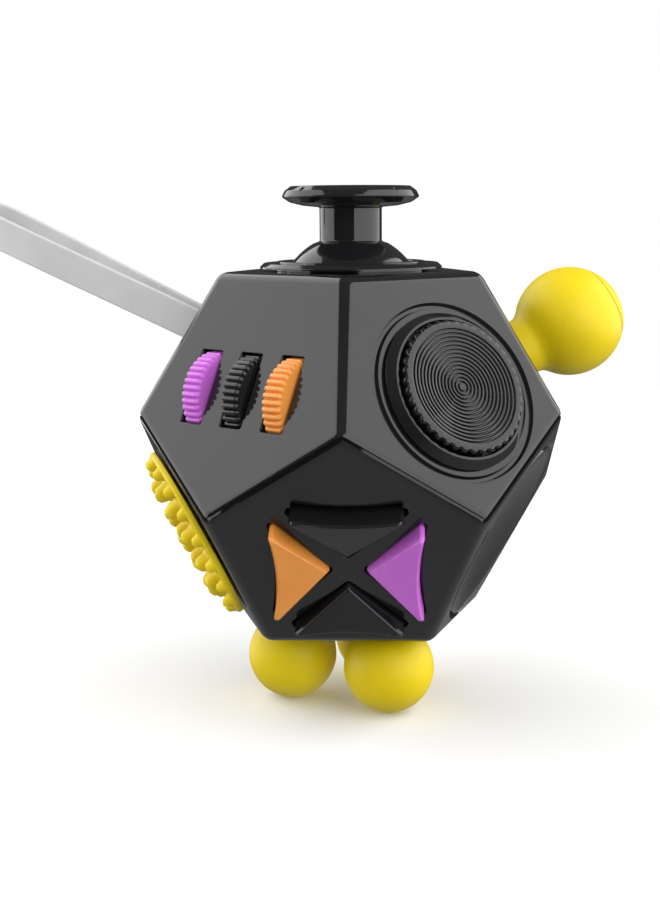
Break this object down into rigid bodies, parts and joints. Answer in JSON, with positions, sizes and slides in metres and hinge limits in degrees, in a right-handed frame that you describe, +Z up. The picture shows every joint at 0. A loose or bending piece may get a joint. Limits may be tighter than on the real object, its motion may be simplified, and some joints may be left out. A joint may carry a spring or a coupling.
{
  "type": "fidget toy",
  "caption": "Twelve-sided desk fidget toy with a thumb joystick, dial, thumb wheels, keys, switch, ball and soft silicone grips on its faces, and a wrist loop.",
  "frame": {"origin": "middle of the casing's bottom face, on its outer surface, between the three ball feet", "axes": "+Z up through the joystick, -Y towards the face with the four keys, +X to the right seen from there"},
  "size_m": [0.0945, 0.057, 0.0694],
  "materials": {
    "black_abs": "gloss",
    "orange_abs": "satin",
    "purple_abs": "satin",
    "yellow_silicone": "matte",
    "grey_rubber": "matte",
    "white_nylon": "matte",
    "polished_steel": "polished",
    "grey_strap": "smooth woven band"
  },
  "bodies": {
    "casing": {"upper_shell": "black_abs", "lower_shell": "black_abs", "joystick_collar": "black_abs", "joystick_socket": "white_nylon", "socket_screw_1": "polished_steel", "socket_screw_2": "polished_steel", "socket_screw_3": "polished_steel", "joystick_spring": "polished_steel", "wheel_axle": "polished_steel", "wheel_cradle": "white_nylon", "wheel_click_spring": "polished_steel", "dial_collar": "black_abs", "dial_click_spring": "polished_steel", "key_membrane": "grey_rubber", "key_plate": "white_nylon", "grip_ball": "yellow_silicone", "ball_foot_1": "yellow_silicone", "ball_foot_2": "yellow_silicone", "ball_foot_3": "yellow_silicone", "bristle_pad": "yellow_silicone", "wrist_strap": "grey_strap", "strap_bracket": "white_nylon", "strap_bar": "polished_steel", "switch_housing": "black_abs", "switch_pin": "polished_steel", "switch_spring": "polished_steel", "ball_cup": "white_nylon", "button_membrane": "grey_rubber", "button_plate": "white_nylon"},
    "gimbal": {"gimbal_ring": "white_nylon"},
    "stick": {"joystick": "black_abs", "stick_shaft": "polished_steel"},
    "dial": {"dial": "black_abs", "dial_click_wheel": "white_nylon"},
    "flip_switch": {"flip_switch": "black_abs"},
    "rolling_ball": {"rolling_ball": "polished_steel"},
    "wheel_left": {"wheel_left": "purple_abs"},
    "wheel_middle": {"wheel_middle": "black_abs"},
    "wheel_right": {"wheel_right": "orange_abs"},
    "key_right": {"key_right": "purple_abs"},
    "key_top": {"key_top": "black_abs"},
    "key_left": {"key_left": "orange_abs"},
    "key_bottom": {"key_bottom": "black_abs"},
    "click_button_1": {"click_button_1": "purple_abs"},
    "click_button_2": {"click_button_2": "orange_abs"},
    "click_button_3": {"click_button_3": "black_abs"},
    "click_button_4": {"click_button_4": "black_abs"},
    "click_button_5": {"click_button_5": "orange_abs"}
  },
  "joints": [
    {"name": "stick_tilt_front_back", "type": "hinge", "parent": "casing", "child": "gimbal", "pos_m": [0, 0, 0.04177], "axis": [1, 0, 0], "range_deg": [-18, 18], "stiffness_Nm_per_rad": 0.02, "deforming": ["joystick_spring"]},
    {"name": "stick_tilt_sideways", "type": "hinge", "parent": "gimbal", "child": "stick", "pos_m": [0, 0, 0.04177], "axis": [0, 1, 0], "range_deg": [-18, 18], "stiffness_Nm_per_rad": 0.02, "deforming": ["joystick_spring"]},
    {"name": "wheel_left_spin", "type": "hinge", "parent": "casing", "child": "wheel_left", "pos_m": [-0.01633, -0.01056, 0.03134], "axis": [0.809, -0.5878, 0], "continuous": true},
    {"name": "wheel_middle_spin", "type": "hinge", "parent": "casing", "child": "wheel_middle", "pos_m": [-0.01095, -0.01447, 0.03134], "axis": [0.809, -0.5878, 0], "continuous": true},
    {"name": "wheel_right_spin", "type": "hinge", "parent": "casing", "child": "wheel_right", "pos_m": [-0.00557, -0.01838, 0.03134], "axis": [0.809, -0.5878, 0], "continuous": true},
    {"name": "dial_turn", "type": "hinge", "parent": "casing", "child": "dial", "pos_m": [0.01327, -0.0169, 0.03272], "axis": [0.5257, -0.7236, 0.4472], "continuous": true},
    {"name": "key_right_press", "type": "slide", "parent": "casing", "child": "key_right", "axis": [0, 0.8944, 0.4472], "range_m": [0, 0.001], "stiffness_N_per_m": 600, "springref_m": -0.0005},
    {"name": "key_top_press", "type": "slide", "parent": "casing", "child": "key_top", "axis": [0, 0.8944, 0.4472], "range_m": [0, 0.001], "stiffness_N_per_m": 600, "springref_m": -0.0005},
    {"name": "key_left_press", "type": "slide", "parent": "casing", "child": "key_left", "axis": [0, 0.8944, 0.4472], "range_m": [0, 0.001], "stiffness_N_per_m": 600, "springref_m": -0.0005},
    {"name": "key_bottom_press", "type": "slide", "parent": "casing", "child": "key_bottom", "axis": [0, 0.8944, 0.4472], "range_m": [0, 0.001], "stiffness_N_per_m": 600, "springref_m": -0.0005},
    {"name": "switch_flip", "type": "hinge", "parent": "casing", "child": "flip_switch", "pos_m": [0, 0.01948, 0.03313], "axis": [-1, 0, 0], "range_deg": [0, 24]},
    {"name": "ball_roll", "type": "hinge", "parent": "casing", "child": "rolling_ball", "pos_m": [-0.01087, 0.01497, 0.01413], "axis": [-0.809, -0.5878, 0], "continuous": true},
    {"name": "button_1_press", "type": "slide", "parent": "casing", "child": "click_button_1", "axis": [-0.5257, -0.7236, 0.4472], "range_m": [0, 0.0007], "stiffness_N_per_m": 600, "springref_m": -0.0005},
    {"name": "button_2_press", "type": "slide", "parent": "casing", "child": "click_button_2", "axis": [-0.5257, -0.7236, 0.4472], "range_m": [0, 0.0007], "stiffness_N_per_m": 600, "springref_m": -0.0005},
    {"name": "button_3_press", "type": "slide", "parent": "casing", "child": "click_button_3", "axis": [-0.5257, -0.7236, 0.4472], "range_m": [0, 0.0007], "stiffness_N_per_m": 600, "springref_m": -0.0005},
    {"name": "button_4_press", "type": "slide", "parent": "casing", "child": "click_button_4", "axis": [-0.5257, -0.7236, 0.4472], "range_m": [0, 0.0007], "stiffness_N_per_m": 600, "springref_m": -0.0005},
    {"name": "button_5_press", "type": "slide", "parent": "casing", "child": "click_button_5", "axis": [-0.5257, -0.7236, 0.4472], "range_m": [0, 0.0007], "stiffness_N_per_m": 600, "springref_m": -0.0005}
  ]
}
